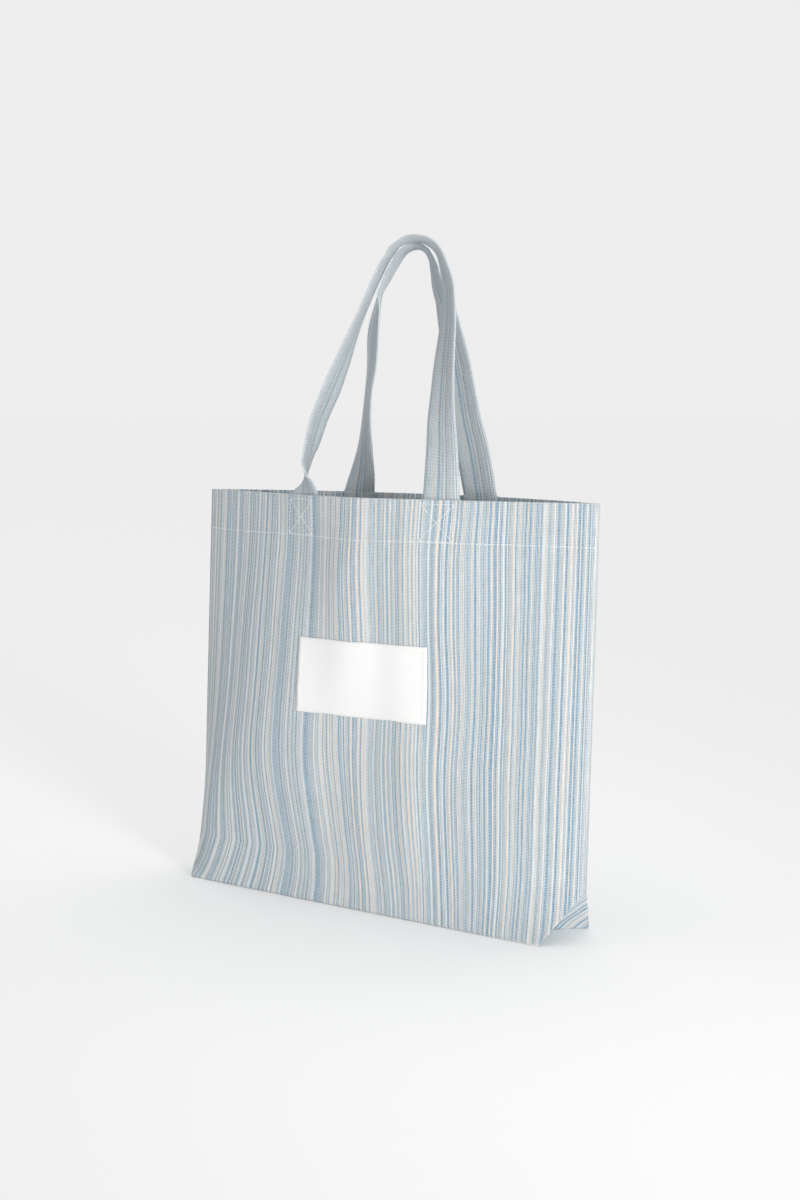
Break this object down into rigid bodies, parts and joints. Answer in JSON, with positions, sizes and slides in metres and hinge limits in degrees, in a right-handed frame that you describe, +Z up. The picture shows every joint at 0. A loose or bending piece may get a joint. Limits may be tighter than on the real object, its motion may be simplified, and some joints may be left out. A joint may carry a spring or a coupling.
{
  "type": "foldable tote bag",
  "caption": "Soft striped cloth tote bag standing open, boxed base, turned top hem, sewn label, and handles that swing outwards; the front folds flat onto the rear.",
  "frame": {"origin": "middle of the flat base, on the surface that the bag stands on", "axes": "+Z up, +X along the bag's width to the right as seen from the front, -Y the side with the label"},
  "size_m": [0.4556, 0.11, 0.6156],
  "materials": {
    "striped_cloth": "coarse woven cotton cloth with fine lengthwise stripes of light blue, pale grey and cream",
    "handle_strap": "folded strap of the same striped cloth",
    "white_thread": "white sewing thread",
    "label_cloth": "plain white woven cotton tape, unprinted"
  },
  "bodies": {
    "bag": {"rear_panel": "striped_cloth", "rear_top_hem": "striped_cloth", "rear_hem_stitching": "white_thread", "rear_cross_stitching": "white_thread", "rear_handle_ends": "handle_strap", "bottom_panel": "striped_cloth", "bottom_seam": "striped_cloth", "left_side_seam": "striped_cloth", "right_side_seam": "striped_cloth", "left_corner_seam": "striped_cloth", "right_corner_seam": "striped_cloth"},
    "front": {"front_panel": "striped_cloth", "front_top_hem": "striped_cloth", "front_hem_stitching": "white_thread", "front_cross_stitching": "white_thread", "front_label": "label_cloth", "label_stitching": "white_thread", "front_handle_ends": "handle_strap"},
    "front_handle": {"front_handle": "handle_strap"},
    "rear_handle": {"rear_handle": "handle_strap"}
  },
  "joints": [
    {"name": "fold_flat", "type": "slide", "parent": "bag", "child": "front", "axis": [0, 1, 0], "range_m": [0, 0.066], "deforming": ["front_panel", "front_top_hem", "front_hem_stitching", "front_cross_stitching", "front_label", "label_stitching", "front_handle_ends", "rear_panel", "rear_top_hem", "rear_hem_stitching", "rear_cross_stitching", "rear_handle_ends", "bottom_panel", "bottom_seam", "left_side_seam", "right_side_seam", "left_corner_seam", "right_corner_seam", "front_handle", "rear_handle"]},
    {"name": "front_handle_swing", "type": "hinge", "parent": "front", "child": "front_handle", "pos_m": [0, -0.016, 0.38], "axis": [1, 0, 0], "range_deg": [0, 165]},
    {"name": "rear_handle_swing", "type": "hinge", "parent": "bag", "child": "rear_handle", "pos_m": [0, 0.0635, 0.38], "axis": [-1, 0, 0], "range_deg": [0, 165]}
  ]
}
